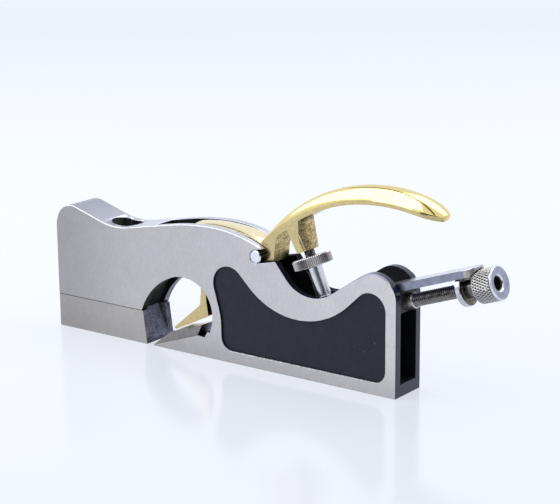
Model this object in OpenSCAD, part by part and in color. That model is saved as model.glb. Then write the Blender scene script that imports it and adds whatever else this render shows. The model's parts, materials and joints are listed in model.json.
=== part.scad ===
// Shoulder plane with an adjustable toe: a narrow metal plane whose iron is as wide as its sole.
// X runs from the toe to the heel, Y across, Z up. The origin is the middle of the sole.
// Profiles are drawn from the side as [distance from the toe, height], then extruded across.

/* [Casting] */
// Length of the sole from toe to heel
sole_len = 190; // [186:1:196]
// Width across the ground sides
body_w = 19; // [18:0.5:22]
// Width of the slot between the two cheeks
slot_w = 12; // [11.8:0.1:12.4]
// Thickness of the sole under the rear hollow
sole_t = 5.5; // [4:0.5:8]
// Depth of the enamelled recess in each side
recess_depth = 0.9; // [0.5:0.1:1.2]

/* [Iron] */
// Angle at which the iron is bedded
bed_angle = 19; // [18:0.5:20]
// Distance of the cutting edge up the bed from the sole
iron_set_back = 2.4; // [1.5:0.1:3]
// Thickness of the iron at its cutting end
iron_t = 4.1; // [3.6:0.1:4.4]
// Thickness of the iron at its tail
iron_tail_t = 3.2; // [2.8:0.1:3.6]
// Angle of the bevel ground on the upper face
bevel_angle = 19; // [17:1:30]

/* [Toe] */
// Height of the sliding toe block
toe_h = 15.6; // [14:0.2:17]
// Opening between the toe and the bed
mouth = 3.9; // [3.4:0.1:4.6]

/* [Lever cap] */
// Width of the lever cap where it lies between the cheeks
cap_w = 11.2; // [10.8:0.1:11.4]
// Width of the palm rest
palm_w = 16; // [14:0.5:18]
// Diameter of the pivot pin
pin_d = 5.8; // [5.4:0.1:6]

/* [Screws] */
// Outside diameter of the adjuster thread
rod_d = 5.9; // [5.5:0.1:6]
// Diameter of the knurled adjuster knob
knob_d = 14.4; // [13:0.2:15]
// Length of the knurled adjuster knob
knob_len = 10; // [8:0.2:11]
// Diameter of the knurled thumb wheel
wheel_d = 17.4; // [15:0.1:17.5]
// Thickness of the knurled thumb wheel
wheel_t = 4.6; // [3.5:0.1:5]

/* [Hidden] */
$fn = 96;
big = 200;            // longer than any piece, for cuts that run right through
sag = 0.02;           // how far a short chord may stand off its arc
fit = 0.05;           // gap between pieces that slide or turn on each other

// Bed and iron, measured up the bed from where its plane meets the sole
bed_x = 56.6;
bed_lip = 0.6;        // blunt front edge of the bed
bevel_len = iron_t / tan(bevel_angle);
head_end = 29.3;      // shoulder of the iron where the head narrows to the shank
head_rake = 4.1;      // how far the shoulder leans back over the iron's thickness
shank_w = 11.2;
shank_start = 16;
tail_end = 178;         // the tail is rounded to a half circle
rib_t = 5;            // rib under the tail, carried by the adjuster's groove
bed_end = 118;        // where the bed inside the slot stops

// Mouth and toe
bed_front = bed_x + bed_lip / tan(bed_angle);
toe_end = bed_front - mouth;
toe_rake = 2.1;       // the toe's rear face leans forward this much over its height
throat_x = 49.6;      // front of the throat relieved between the cheeks, at the toe's top
throat_foot = 2.7;    // height where that relief starts on the toe
seam = 0.12;          // joint line between the toe and the casting
tongue_w = 9;
tongue_top = 22.6;
tongue_x = [12, 42];
tongue_play = [2.3, 1.1];    // room for the tongue to move forward and back
lock_x = 35.2;
lock_d = 5;
lock_head_d = 8.5;
lock_head_h = 5;
washer_d = 9;
washer_t = 1;
well_x = [34.4, 38];  // the well is a short slot between these centres
well_d = 12;
well_floor = 30;
mouth_screw_z = 19.1;
mouth_screw_d = 6;

// Lever cap
pin = [117.3, 50.7];
notch_angle = 12.6;
notch_r = pin_d / 2 + 0.06;
palm_end = 209.6;
boss = [139.2, 55.1];        // centre of the thumb screw boss at its lower end
screw_lean = 22.5;
boss_d = 9;
boss_flare = 2.25;           // how much the boss grows in radius up to the palm rest
stud_d = 5;
stud_top = 11;               // length of stud inside the boss
wheel_top = 2.8;             // thumb screw distances are measured down from the boss
foot_d = 6.7;
foot_end = 21.45;
foot_dome = 12;
journal_d = 3.6;
journal_len = 3.8;

// Adjuster, measured along its axis from the same zero as the bed
rod_drop = 5.2;              // axis below the underside of the iron
rod_start = 118;
collar_start = 167;
collar_t = 2.5;
neck_d = 7.6;
groove_w = rib_t + 0.4;
knob_start = collar_start + collar_t + groove_w;
knob_hole_d = 5.2;
knob_dish = 0.3;
block_x = [179, 189.7];
block_bottom = 36.2;
bush_d = 7.2;
bush_end = 143.5;
bush_chamfer = 0.8;

// ---- outline helpers -------------------------------------------------------------------------

function xy(p) = [p[0], p[1]];
function unit(v) = v / norm(v);
function wrap(a) = (a + 540) % 360 - 180;

// Turns one corner [x, y, radius] of a path into the points of its fillet arc.
function corner(path, i) =
  let (n = len(path), p = xy(path[i]), r = path[i][2])
  r == 0 ? [p] :
  let (
    before = unit(xy(path[(i + n - 1) % n]) - p),
    after = unit(xy(path[(i + 1) % n]) - p),
    half = acos(before * after) / 2,
    centre = p + unit(before + after) * r / sin(half),
    from = p + before * r / tan(half) - centre,
    to = p + after * r / tan(half) - centre,
    start = atan2(from.y, from.x),
    sweep = wrap(atan2(to.y, to.x) - start),
    steps = max(2, ceil(abs(sweep) / (2 * acos(1 - sag / r))))
  )
  [for (k = [0 : steps]) centre + r * [cos(start + sweep * k / steps), sin(start + sweep * k / steps)]];

// A closed outline from corners, each with its own fillet radius.
module outline(path) polygon([for (i = [0 : len(path) - 1]) each corner(path, i)]);

module from_toe() translate([-sole_len / 2, 0, 0]) children();

// Extrudes a side profile across the plane, centred on its middle.
module across(width) rotate([90, 0, 0]) linear_extrude(width, center = true) children();

// Local x runs up the bed towards the heel and local z stands square off the bed.
module on_bed() from_toe() translate([bed_x, 0, 0]) rotate([0, -bed_angle, 0]) children();

// Local z points down the thumb screw from the lower end of its boss.
module on_thumb_screw()
  from_toe() translate([boss.x, 0, boss.y]) rotate([0, 180 - screw_lean, 0]) children();

// Local z points along the adjuster, from the iron's cutting end towards the knob.
module on_adjuster() on_bed() translate([0, 0, -rod_drop]) rotate([0, 90, 0]) children();

// A solid wheel standing lengthwise: its rim has the given radius and is crowned across.
module barrel(centre, radius, crown)
  translate([centre.x, 0, centre.y]) rotate([90, 0, 0]) rotate_extrude($fn = 180) intersection() {
    translate([0, -body_w / 2]) square([radius, body_w]);
    union() {
      translate([radius - crown, 0]) circle(crown);
      translate([0, -crown]) square([radius - crown, 2 * crown]);
    }
  }

// ---- casting ---------------------------------------------------------------------------------

// Side view of the casting and toe together: nose, dip, hump, lip over the pin, valley and heel.
module body_outline() outline([
  [0, 0, 0],
  [0, 63.1, 9.5],
  [35.6, 52.2, 34],
  [80.5, 60.6, 127],
  [107.5, 60.6, 65.5],
  [120.7, 54.3, 0],
  [127.6, 50.4, 1.5],
  [144, 31.3, 17],
  [sole_len, 62.5, 11.1],
  [sole_len, 0, 0]
]);

// Escapement that lets the shavings out through both sides.
module escapement() {
  intersection() {
    translate([77, 19.2]) circle(16);
    translate([72.8, 12]) square([30, 40]);
  }
  intersection() {
    translate([80.9, 4.7]) circle(31.3);
    polygon([[bed_x, toe_h - 2], [76, 12], [72.8, 34.9], [60, 40], [45, toe_h]]);
  }
  intersection() {
    polygon([[toe_end, -1], [bed_front, -1], [bed_front, bed_lip], [84.2, 9.5], [92.4, 15], [80, 30], [45, 24]]);
    translate([80.9, 4.7]) circle(31.3);
  }
  // clearance behind the iron's shoulders, milled along their slant
  polygon([[84.2, 9.5], [88.4, 9.3], [92.6, 17], [86, 20]]);
}

// Slot between the cheeks: open on top, with the bed at its front and a hollow behind it.
module cheek_slot() outline([
  [58.3, 70, 0],
  [58.3, 33, 12],
  [throat_x, toe_h, 0],
  [throat_x, 14, 0],
  [bed_x + 30 * cos(bed_angle), 30 * sin(bed_angle), 0],
  [bed_end, (bed_end - bed_x) * tan(bed_angle), 1],
  [bed_end + 3, sole_t, 4],
  [sole_len + 1, sole_t, 0],
  [sole_len + 1, 70, 0]
]);

module side_recess() outline([
  [98, 5.5, 6],
  [98, 20, 30],
  [85.3, 64.2, 8.5],
  [139.3, 11.2, 38],
  [184.6, 53.9, 7.6],
  [184.6, 5.5, 5.5]
]);

// U-shaped notch for the pivot pin, open to the rear.
module pin_notch() translate([pin.x, pin.y]) rotate(notch_angle) {
  circle(notch_r);
  translate([0, -notch_r]) square([14, 2 * notch_r]);
}

module body() color([0.72, 0.72, 0.74]) from_toe() difference() {
  across(body_w) difference() {
    body_outline();
    translate([-1, -1]) square([toe_end + 1.2, toe_h + seam + 1]);
    escapement();
    pin_notch();
  }
  across(slot_w) cheek_slot();
  for (side = [-1, 1])
    translate([0, side * (body_w - recess_depth + 1) / 2, 0]) across(recess_depth + 1) side_recess();
  // groove for the toe's tongue
  translate([tongue_x[0] - tongue_play[0], -tongue_w / 2 - fit, toe_h])
    cube([tongue_x[1] - tongue_x[0] + tongue_play[0] + tongue_play[1], tongue_w + 2 * fit, tongue_top - toe_h + 0.2]);
  // well, and slotted hole, for the screw that locks the toe
  for (x = well_x) translate([x, 0, well_floor]) cylinder(d = well_d, h = big);
  translate([well_x[0], -well_d / 2, well_floor]) cube([well_x[1] - well_x[0], well_d, big]);
  translate([lock_x, 0, toe_h]) {
    for (x = [-tongue_play[0], 0, tongue_play[1]]) translate([x, 0, 0]) cylinder(d = lock_d + 0.5, h = 20);
    translate([-tongue_play[0], -lock_d / 2 - 0.25, 0])
      cube([tongue_play[0] + tongue_play[1], lock_d + 0.5, 20]);
  }
  // threaded hole for the mouth screw in the front wall
  translate([-1, 0, mouth_screw_z]) rotate([0, 90, 0]) cylinder(d = mouth_screw_d + 2 * fit, h = tongue_x[0]);
}

// ---- toe -------------------------------------------------------------------------------------

module toe() color([0.68, 0.67, 0.65]) from_toe() difference() {
  union() {
    across(body_w) polygon([[0, 0], [toe_end, 0], [toe_end - toe_rake, toe_h], [0, toe_h]]);
    translate([tongue_x[0], -tongue_w / 2, toe_h - 1])
      cube([tongue_x[1] - tongue_x[0], tongue_w, tongue_top - toe_h + 1]);
  }
  across(slot_w) polygon([
    [toe_end - toe_rake * throat_foot / toe_h, throat_foot],
    [throat_x, toe_h + 0.01],
    [bed_x, toe_h + 0.01]
  ]);
  translate([lock_x, 0, 4]) cylinder(d = lock_d, h = big);
  // keyhole that catches the button of the mouth screw
  translate([tongue_x[0] - 1, -1.7, mouth_screw_z - 1.7]) cube([3, 3.4, 10]);
  translate([tongue_x[0] + 1.3, -3, mouth_screw_z - 3]) cube([2, 6, 10]);
}

module toe_lock_screw() color([0.25, 0.25, 0.27]) from_toe() translate([lock_x, 0, well_floor + washer_t])
  difference() {
    union() {
      cylinder(d = lock_head_d, h = lock_head_h);
      translate([0, 0, 5 - well_floor]) cylinder(d = lock_d, h = well_floor - 4);
    }
    translate([0, 0, lock_head_h - 2.5]) cylinder(d = 4.6, h = 3, $fn = 6);
  }

module toe_washer() color([0.6, 0.6, 0.62]) from_toe() translate([lock_x, 0, well_floor]) difference() {
  cylinder(d = washer_d, h = washer_t);
  translate([0, 0, -1]) cylinder(d = lock_d, h = 3);
}

module mouth_screw() color([0.3, 0.3, 0.32]) from_toe() translate([0, 0, mouth_screw_z]) rotate([0, 90, 0])
  difference() {
    union() {
      translate([0, 0, 3]) cylinder(d = mouth_screw_d, h = tongue_x[0] - 3.1);
      cylinder(d = 3, h = tongue_x[0] + 2);
      translate([0, 0, tongue_x[0] + 1.4]) cylinder(d = 5.6, h = 1.8);
    }
    translate([0, 0, -1]) cylinder(d = 8, h = 4);
    translate([0, 0, 2]) cylinder(d = 3, h = 4, $fn = 6);
  }

// ---- iron ------------------------------------------------------------------------------------

// Side view of the tapered iron, measured along the bed from the cutting edge's zero.
function iron_top(u) = iron_t - (iron_t - iron_tail_t) * (u - bevel_len) / (tail_end - bevel_len);

module iron() color([0.78, 0.79, 0.82]) on_bed() difference() {
  union() {
    across(body_w) polygon([
      [iron_set_back, fit],
      [head_end, fit],
      [head_end + head_rake, iron_top(head_end)],
      [iron_set_back + bevel_len, iron_t]
    ]);
    intersection() {
      across(shank_w) polygon([
        [shank_start, fit],
        [tail_end, fit],
        [tail_end, iron_tail_t],
        [shank_start, iron_top(shank_start)]
      ]);
      linear_extrude(10) union() {
        translate([0, -shank_w / 2]) square([tail_end - shank_w / 2, shank_w]);
        translate([tail_end - shank_w / 2, 0]) circle(d = shank_w);
      }
    }
  }
  // underside hollowed round the adjuster's collar and knob, leaving the rib between them
  translate([0, 0, -rod_drop]) rotate([0, 90, 0]) {
    translate([0, 0, collar_start - 0.2]) cylinder(d = knob_d + 0.6, h = collar_t + 0.4);
    translate([0, 0, knob_start - 0.2]) cylinder(d = knob_d + 0.6, h = 10);
  }
}

// ---- lever cap -------------------------------------------------------------------------------

// Nose, leg and foot of the cap, with the arm back to the pivot.
module cap_leg_outline() outline([
  [68.9, 8.85, 0.4],
  [67.1, 9.1, 0.4],
  [82.9, 22.4, 2.5],
  [84.3, 36, 30],
  [79.1, 47, 12],
  [79.1, 62, 5],
  [126, 62, 0],
  [124.2, 47, 3],
  [118, 43.8, 6],
  [106, 47.5, 8],
  [89, 46, 12],
  [86, 28, 30],
  [87.6, 17.9, 0.6]
]);

// Root of the handle above the pivot, and the strut that carries the thumb screw boss.
module cap_web_outline() polygon([
  [111, 53], [111, 90], [134, 90], [134.7, 68.4], boss + [0.85, 0.36], boss + [-2.2, -0.9],
  [131.6, 63.8], [126.3, 61], [124.2, 50]
]);

// The palm rest is lofted along its arched back: each section stands square to the back and has a
// flat underside, a narrow upright edge and a crown, and its width swells towards the palm.
back = [[180, 8.2, 80], [180, 27.2, 61]];        // centre and radius before and after the summit
belly = [[181, -0.8, 82], [181, -3.8, 85]];      // the same for the underside
root_angle = -56;
tip_start = 199;                                 // where the tip begins to round off
edge_h = 1.8;                                    // height of the upright edge
root_edge_h = 3.2;
crown_steps = 16;
handle_steps = 34;
tip_steps = 10;

function ramp(t) = let (c = min(1, max(0, t))) c * c * (3 - 2 * c);
function heading(a) = [sin(a), cos(a)];

// How far along a ray from a the circle [x, z, radius] lies.
function reach(from, a, circle) =
  let (offset = xy(circle) - from, along = offset * heading(a))
  along + sqrt(along * along - offset * offset + circle[2] * circle[2]);

// Share of the full width and crown that is left at x, where the tip rounds off.
function tip_share(x) =
  x < tip_start ? 1 : sqrt(max(0, 1 - pow((x - tip_start) / (palm_end - tip_start), 2)));
function half_width(x) = cap_w / 2 + (palm_w - cap_w) / 2 * ramp((x - 126) / 52);

// One section of the handle as 3-D points: underside, upright edge, crown, upright edge.
function handle_section(a) =
  let (
    arc = back[a < 0 ? 0 : 1],
    centre = xy(arc),
    x = centre.x + arc[2] * sin(a),
    low = reach(centre, a, belly[a < 0 ? 0 : 1]),
    edge = edge_h + (root_edge_h - edge_h) * ramp((-22 - a) / 30),
    share = tip_share(x),
    half = half_width(x) * share,
    rise = (arc[2] - low - edge) * pow(share, 0.7),
    radius = (half * half + rise * rise) / (2 * rise),
    sweep = asin(min(1, half / radius)),
    turn = rise > half ? 180 - sweep : sweep
  )
  [for (k = [-1 : crown_steps + 1])
    let (
      phi = turn * (2 * min(crown_steps, max(0, k)) / crown_steps - 1),
      y = k < 0 ? -half : k > crown_steps ? half : radius * sin(phi),
      r = k < 0 || k > crown_steps ? low : low + edge + rise - radius * (1 - cos(phi)),
      point = centre + r * heading(a)
    )
    [point.x, y, point.y]
  ];

tip_angle = asin((palm_end - 0.15 - back[1].x) / back[1][2]);
tip_start_angle = asin((tip_start - back[1].x) / back[1][2]);
handle_angles = [
  for (k = [0 : handle_steps]) root_angle + (tip_start_angle - root_angle) * k / handle_steps,
  for (k = [1 : tip_steps]) tip_start_angle + (tip_angle - tip_start_angle) * sin(90 * k / tip_steps)
];

module handle() {
  count = crown_steps + 3;
  last = len(handle_angles) - 1;
  polyhedron(
    points = [for (a = handle_angles) each handle_section(a)],
    faces = [
      for (k = [1 : count - 2]) [0, k + 1, k],
      for (k = [1 : count - 2]) [last * count, last * count + k, last * count + k + 1],
      for (i = [0 : last - 1], k = [0 : count - 1])
        let (next = (k + 1) % count)
        each [
          [i * count + k, i * count + next, (i + 1) * count + k],
          [(i + 1) * count + k, i * count + next, (i + 1) * count + next]
        ]
    ]
  );
}

module lever_cap() color([0.86, 0.7, 0.3]) from_toe() difference() {
  union() {
    intersection() {
      across(cap_w) cap_leg_outline();
      barrel([93, -17.8], 79, 16);
    }
    handle();
    intersection() {
      across(cap_w) cap_web_outline();
      barrel([180, 8.2], 77, 8.8);
    }
    // boss with flat sides and a rounded, tapered back
    translate([boss.x, 0, boss.y]) rotate([0, -screw_lean, 0]) intersection() {
      cylinder(d1 = boss_d, d2 = boss_d + 2 * boss_flare, h = 14);
      translate([-2.6, -cap_w / 2, 0]) cube([14, cap_w, 14]);
    }
  }
  translate([pin.x, 0, pin.y]) rotate([90, 0, 0]) cylinder(d = pin_d, h = big, center = true);
  translate([boss.x, 0, boss.y]) rotate([0, -screw_lean, 0]) translate([0, 0, -1])
    cylinder(d = stud_d + 2 * fit, h = stud_top + 3);
}

module lever_pin() color([0.8, 0.8, 0.82]) from_toe() translate([pin.x, 0, pin.y]) rotate([90, 0, 0])
  cylinder(d = pin_d, h = body_w - 0.1, center = true);

// ---- thumb screw -----------------------------------------------------------------------------

module thumb_stud() color([0.5, 0.45, 0.4]) on_thumb_screw() {
  translate([0, 0, -stud_top]) cylinder(d = stud_d, h = stud_top + wheel_top + wheel_t);
  cylinder(d = journal_d, h = wheel_top + wheel_t + journal_len);
}

module thumb_wheel() color([0.75, 0.74, 0.72]) on_thumb_screw() translate([0, 0, wheel_top]) difference() {
  cylinder(d = wheel_d, h = wheel_t);
  translate([0, 0, -1]) cylinder(d = stud_d, h = wheel_t + 2);
}

module thumb_foot() color([0.7, 0.7, 0.7]) on_thumb_screw() difference() {
  intersection() {
    translate([0, 0, wheel_top + wheel_t + fit]) cylinder(d = foot_d, h = foot_end - wheel_top - wheel_t - fit);
    translate([0, 0, foot_end - foot_dome]) sphere(foot_dome);
  }
  cylinder(d = journal_d + 2 * fit, h = wheel_top + wheel_t + journal_len + 0.2);
}

// ---- adjuster --------------------------------------------------------------------------------

module adjuster_spindle() color([0.55, 0.52, 0.48]) on_adjuster() {
  translate([0, 0, rod_start]) cylinder(d = rod_d, h = collar_start - rod_start + 1);
  translate([0, 0, collar_start]) cylinder(d = knob_d - 0.4, h = collar_t);
  translate([0, 0, collar_start]) cylinder(d = neck_d, h = knob_start - collar_start);
  translate([0, 0, knob_start - 1]) cylinder(d = knob_hole_d, h = knob_len * 0.7);
}

module adjuster_knob() color([0.78, 0.78, 0.8]) on_adjuster() translate([0, 0, knob_start]) rotate_extrude()
  difference() {
    outline([
      [0, 0, 0],
      [knob_d / 2, 0, 0.8],
      [knob_d / 2, knob_len, 0.6],
      [knob_hole_d / 2, knob_len - knob_dish, 0],
      [0, knob_len - knob_dish, 0]
    ]);
    translate([0, -1]) square([knob_hole_d / 2, knob_len + 2]);
  }

module adjuster_block() color([0.42, 0.4, 0.37]) difference() {
  intersection() {
    from_toe() across(slot_w) intersection() {
      body_outline();
      translate([block_x[0], block_bottom]) square([block_x[1] - block_x[0], 20]);
    }
    on_bed() translate([0, -big / 2, -big - fit]) cube([big, big, big]);
  }
  on_adjuster() cylinder(d = bush_d, h = big);
}

module adjuster_bush() color([0.7, 0.68, 0.64]) difference() {
  intersection() {
    on_adjuster() {
      cylinder(d = bush_d, h = bush_end - bush_chamfer);
      translate([0, 0, bush_end - bush_chamfer]) cylinder(d1 = bush_d, d2 = bush_d - 2 * bush_chamfer, h = bush_chamfer);
    }
    from_toe() translate([block_x[0], -big / 2, 0]) cube([big, big, big]);
  }
  on_adjuster() cylinder(d = rod_d + 2 * fit, h = big);
}

body();
toe();
toe_lock_screw();
toe_washer();
mouth_screw();
iron();
lever_cap();
lever_pin();
thumb_stud();
thumb_wheel();
thumb_foot();
adjuster_spindle();
adjuster_knob();
adjuster_block();
adjuster_bush();
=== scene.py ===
# A shoulder plane: a narrow cast iron body with a sliding toe, an iron as wide as the sole, a brass lever
# cap shaped as a palm rest, and knurled screws that clamp the iron and set its depth.
# X runs from toe to heel, Y across and Z up, from the middle of the sole. Lengths are metres, but the rows
# and sizes of turned pieces are millimetres.

import json
import math

import bmesh
import bpy
from mathutils import Matrix, Vector


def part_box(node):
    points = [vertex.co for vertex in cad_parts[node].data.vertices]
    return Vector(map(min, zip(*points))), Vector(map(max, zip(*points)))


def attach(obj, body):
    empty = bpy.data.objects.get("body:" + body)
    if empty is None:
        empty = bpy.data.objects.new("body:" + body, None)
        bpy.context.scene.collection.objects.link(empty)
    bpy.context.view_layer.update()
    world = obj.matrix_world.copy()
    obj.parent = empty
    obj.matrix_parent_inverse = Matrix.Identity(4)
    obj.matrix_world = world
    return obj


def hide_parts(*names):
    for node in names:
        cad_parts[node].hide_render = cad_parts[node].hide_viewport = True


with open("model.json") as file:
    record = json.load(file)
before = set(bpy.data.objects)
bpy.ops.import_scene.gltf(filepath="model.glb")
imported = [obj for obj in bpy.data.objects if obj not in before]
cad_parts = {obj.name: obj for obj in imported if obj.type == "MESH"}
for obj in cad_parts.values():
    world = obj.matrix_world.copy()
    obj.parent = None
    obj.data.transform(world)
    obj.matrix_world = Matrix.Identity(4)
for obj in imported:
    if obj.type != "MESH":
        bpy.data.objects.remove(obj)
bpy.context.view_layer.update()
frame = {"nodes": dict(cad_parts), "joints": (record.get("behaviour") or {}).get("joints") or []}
scene = bpy.context.scene
mm = 0.001

# ---- casting ---------------------------------------------------------------------------------
# The body is one iron casting. Its sides, sole and front top are ground bright, and its edges are
# broken with a file. The side recesses, the heel and the slot keep a dark stoved enamel.

side_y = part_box("body")[1].y
toe_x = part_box("body")[0].x
heel_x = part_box("body")[1].x
recess_y = side_y - 0.9 * mm
slot_y = 6 * mm
lip_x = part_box("lever_pin")[1].x + 0.5 * mm
arch_top = 36.5 * mm
valley_end = heel_x - 24 * mm
hump_z = 50 * mm
grip_x = toe_x + 55 * mm
# Points within a hair are in one place, and a face near_by a level belongs to it.
hair = 0.02 * mm
near_by = 0.1 * mm
square_on = 0.99


def shade(tree, kind, sockets=None, **settings):
    """Adds a shader node. sockets gives each input, by name or number, a value or another node's output."""
    made = tree.nodes.new("ShaderNode" + kind)
    for key, value in settings.items():
        setattr(made, key, value)
    for key, value in (sockets or {}).items():
        if isinstance(value, bpy.types.NodeSocket):
            tree.links.new(value, made.inputs[key])
        else:
            made.inputs[key].default_value = value
    return made


def new_effect(name, inputs, outputs):
    """Starts a node group, and returns it with its input and output nodes. A tuple makes a colour socket."""
    tree = bpy.data.node_groups.new(name, "ShaderNodeTree")
    for key, value in inputs.items():
        kind = "NodeSocketColor" if isinstance(value, tuple) else "NodeSocketFloat"
        tree.interface.new_socket(key, in_out="INPUT", socket_type=kind).default_value = value
    for key in outputs:
        kind = "NodeSocketColor" if key == "Color" else "NodeSocketFloat"
        tree.interface.new_socket(key, in_out="OUTPUT", socket_type=kind)
    return tree, tree.nodes.new("NodeGroupInput"), tree.nodes.new("NodeGroupOutput")


# Mottled skin of a metal surface: soft patches with finer grain over them.
mottle, given, result = new_effect(
    "mottle",
    {"Light": (1, 1, 1, 1), "Dark": (0, 0, 0, 1), "Patches per metre": 400.0, "Grain per metre": 2500.0,
     "Grain share": 0.4, "Smooth": 0.3, "Rough": 0.5},
    ["Color", "Roughness", "Height"])
place = shade(mottle, "TexCoord").outputs["Object"]
patches = shade(mottle, "TexNoise",
                {"Vector": place, "Scale": given.outputs["Patches per metre"], "Detail": 3.0})
grain = shade(mottle, "TexNoise",
              {"Vector": place, "Scale": given.outputs["Grain per metre"], "Detail": 2.0})
blend = shade(mottle, "Mix",
              {"Factor": given.outputs["Grain share"], 2: patches.outputs["Fac"], 3: grain.outputs["Fac"]})
spread = shade(mottle, "MapRange", {"Value": blend.outputs[0], "From Min": 0.34, "From Max": 0.66})
colour = shade(mottle, "Mix",
               {"Factor": spread.outputs[0], 6: given.outputs["Dark"], 7: given.outputs["Light"]},
               data_type="RGBA")
dull = shade(mottle, "Mix",
             {"Factor": spread.outputs[0], 2: given.outputs["Rough"], 3: given.outputs["Smooth"]})
mottle.links.new(colour.outputs[2], result.inputs["Color"])
mottle.links.new(dull.outputs[0], result.inputs["Roughness"])
mottle.links.new(blend.outputs[0], result.inputs["Height"])

# Fine straight scratches left by a grinding wheel or a file. The three counts stretch them.
scratches, given, result = new_effect(
    "scratches", {"Along X": 500.0, "Along Y": 500.0, "Along Z": 6000.0, "Depth": 0.3}, ["Tone", "Height"])
place = shade(scratches, "TexCoord").outputs["Object"]
counts = shade(scratches, "CombineXYZ", {axis: given.outputs["Along " + axis] for axis in "XYZ"})
stretched = shade(scratches, "VectorMath", {0: place, 1: counts.outputs[0]}, operation="MULTIPLY")
lines = shade(scratches, "TexNoise", {"Vector": stretched.outputs[0], "Scale": 1.0, "Detail": 3.0})
sharper = shade(scratches, "MapRange", {"Value": lines.outputs["Fac"], "From Min": 0.35, "From Max": 0.65})
fade = shade(scratches, "Math", {0: 1.0, 1: given.outputs["Depth"]}, operation="SUBTRACT")
tone = shade(scratches, "Mix", {"Factor": sharper.outputs[0], 2: fade.outputs[0], 3: 1.0})
scratches.links.new(tone.outputs[0], result.inputs["Tone"])
scratches.links.new(sharper.outputs[0], result.inputs["Height"])

# Rings left by a lathe tool on a face turned about the piece's own Z.
rings, given, result = new_effect("rings", {"Rings per metre": 3000.0, "Depth": 0.3}, ["Tone", "Height"])
place = shade(rings, "TexCoord").outputs["Object"]
flat = shade(rings, "VectorMath", {0: place, 1: (1, 1, 0)}, operation="MULTIPLY")
out = shade(rings, "VectorMath", {0: flat.outputs[0]}, operation="LENGTH")
height = shade(rings, "SeparateXYZ", {0: place})
both = shade(rings, "Math", {0: out.outputs["Value"], 1: height.outputs["Z"]}, operation="ADD")
count = shade(rings, "Math", {0: both.outputs[0], 1: given.outputs["Rings per metre"]}, operation="MULTIPLY")
lines = shade(rings, "TexNoise", {"W": count.outputs[0], "Scale": 1.0, "Detail": 2.0}, noise_dimensions="1D")
sharper = shade(rings, "MapRange", {"Value": lines.outputs["Fac"], "From Min": 0.35, "From Max": 0.65})
fade = shade(rings, "Math", {0: 1.0, 1: given.outputs["Depth"]}, operation="SUBTRACT")
tone = shade(rings, "Mix", {"Factor": sharper.outputs[0], 2: fade.outputs[0], 3: 1.0})
rings.links.new(tone.outputs[0], result.inputs["Tone"])
rings.links.new(sharper.outputs[0], result.inputs["Height"])

# Painted shade darkens the grooves and a painted highlight brightens the crests between them.
groove_shade_crest_glint, given, result = new_effect(
    "groove_shade_crest_glint", {"Groove": 0.4, "Crest": 1.2, "Low": 0.44, "High": 0.56}, ["Tone"])
bend = shade(groove_shade_crest_glint, "NewGeometry").outputs["Pointiness"]
level = shade(groove_shade_crest_glint, "MapRange",
              {"Value": bend, "From Min": given.outputs["Low"], "From Max": given.outputs["High"]})
tone = shade(groove_shade_crest_glint, "Mix",
             {"Factor": level.outputs[0], 2: given.outputs["Groove"], 3: given.outputs["Crest"]})
groove_shade_crest_glint.links.new(tone.outputs[0], result.inputs["Tone"])

# Small bright or dark spots: dust on enamel, pits in a rough casting.
specks, given, result = new_effect(
    "specks", {"Specks per metre": 300.0, "Size": 0.12, "Share": 0.5}, ["Mask"])
place = shade(specks, "TexCoord").outputs["Object"]
cells = shade(specks, "TexVoronoi", {"Vector": place, "Scale": given.outputs["Specks per metre"]})
pick = shade(specks, "TexWhiteNoise", {"Vector": cells.outputs["Position"]}, noise_dimensions="3D")
some = shade(specks, "Math", {0: pick.outputs["Value"], 1: given.outputs["Share"]}, operation="LESS_THAN")
near = shade(specks, "MapRange",
             {"Value": cells.outputs["Distance"], "From Min": given.outputs["Size"], "From Max": 0.0})
mask = shade(specks, "Math", {0: near.outputs[0], 1: some.outputs[0]}, operation="MULTIPLY")
specks.links.new(mask.outputs[0], result.inputs["Mask"])

# Painted light and shade on a rough casting: faces that turn towards the heel are painted lighter, and the
# others darker.
facing_light_and_shade, given, result = new_effect("facing_light_and_shade", {"Shaded": 0.6, "Lit": 1.3}, ["Tone"])
place = shade(facing_light_and_shade, "SeparateXYZ", {0: shade(facing_light_and_shade, "TexCoord").outputs["Normal"]})
tone = shade(facing_light_and_shade, "MapRange",
             {"Value": place.outputs["X"], "From Min": 0.5, "From Max": 0.88,
              "To Min": given.outputs["Shaded"], "To Max": given.outputs["Lit"]},
             interpolation_type="SMOOTHSTEP")
facing_light_and_shade.links.new(tone.outputs[0], result.inputs["Tone"])

# Painted shade: a surface is painted darker towards the nose and along the sole.
nose_and_sole_shade, given, result = new_effect(
    "nose_and_sole_shade", {"Nose": 0.58, "Middle": 0.8, "Heel": 1.0, "Sole": 0.78}, ["Tone"])
place = shade(nose_and_sole_shade, "SeparateXYZ", {0: shade(nose_and_sole_shade, "TexCoord").outputs["Object"]})
front = shade(nose_and_sole_shade, "MapRange",
              {"Value": place.outputs["X"], "From Min": toe_x, "From Max": grip_x,
               "To Min": given.outputs["Nose"], "To Max": given.outputs["Middle"]},
              interpolation_type="SMOOTHSTEP")
back = shade(nose_and_sole_shade, "MapRange",
             {"Value": place.outputs["X"], "From Min": grip_x, "From Max": heel_x,
              "To Min": 0.0, "To Max": 1.0})
along = shade(nose_and_sole_shade, "Mix", {"Factor": back.outputs[0], 2: front.outputs[0], 3: given.outputs["Heel"]})
low = shade(nose_and_sole_shade, "MapRange",
            {"Value": place.outputs["Z"], "From Min": 0.0, "From Max": 16 * mm,
             "To Min": given.outputs["Sole"], "To Max": 1.0},
            interpolation_type="SMOOTHSTEP")
tone = shade(nose_and_sole_shade, "Math", {0: along.outputs[0], 1: low.outputs[0]}, operation="MULTIPLY")
nose_and_sole_shade.links.new(tone.outputs[0], result.inputs["Tone"])


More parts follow.
